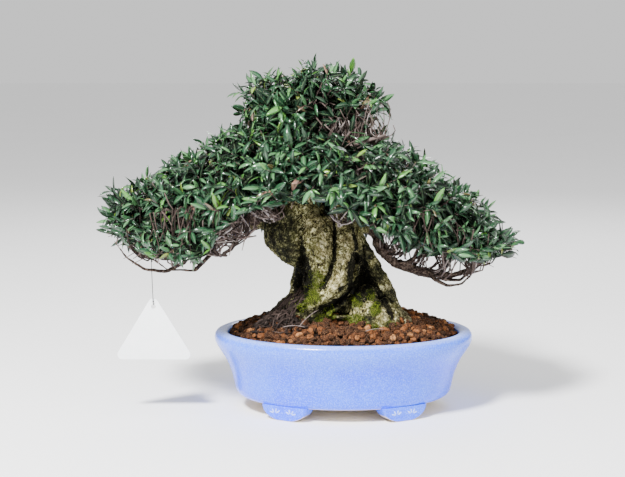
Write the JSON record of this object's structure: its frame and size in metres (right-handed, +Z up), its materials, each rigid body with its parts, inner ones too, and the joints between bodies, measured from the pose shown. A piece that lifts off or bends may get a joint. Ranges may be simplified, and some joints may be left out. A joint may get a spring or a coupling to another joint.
{
  "type": "trachelospermum bonsai",
  "caption": "Old broad bonsai with a twisted leaning trunk, a spreading dome of small leaves and a rounded crown, in a shallow oval glazed pot on cloud feet, with a blank tag.",
  "frame": {"origin": "middle of the footprint of the tree and pot, without the hanging tag, on the surface that the pot's feet stand on", "axes": "+X to the viewer's right along the long spread of the branches and the long side of the pot, +Y away from the viewer, +Z up"},
  "size_m": [0.4308, 0.2506, 0.3526],
  "materials": {
    "glaze": "gloss",
    "screen": "matte",
    "soil": "matte",
    "bark": "matte",
    "leaves": "satin",
    "tag": "satin",
    "string": "matte"
  },
  "bodies": {
    "root": {"pot": "glaze", "drain_screen_left": "screen", "drain_screen_right": "screen", "soil": "soil", "trunk_and_branches": "bark", "tag": "tag", "tag_string": "string", "foliage_left_tip": "leaves", "foliage_left_front": "leaves", "foliage_left_back": "leaves", "foliage_front_middle": "leaves", "foliage_back_middle": "leaves", "foliage_right_front": "leaves", "foliage_right_back": "leaves", "foliage_right_tip": "leaves", "foliage_crown_left": "leaves", "foliage_crown_right": "leaves"}
  },
  "joints": []
}
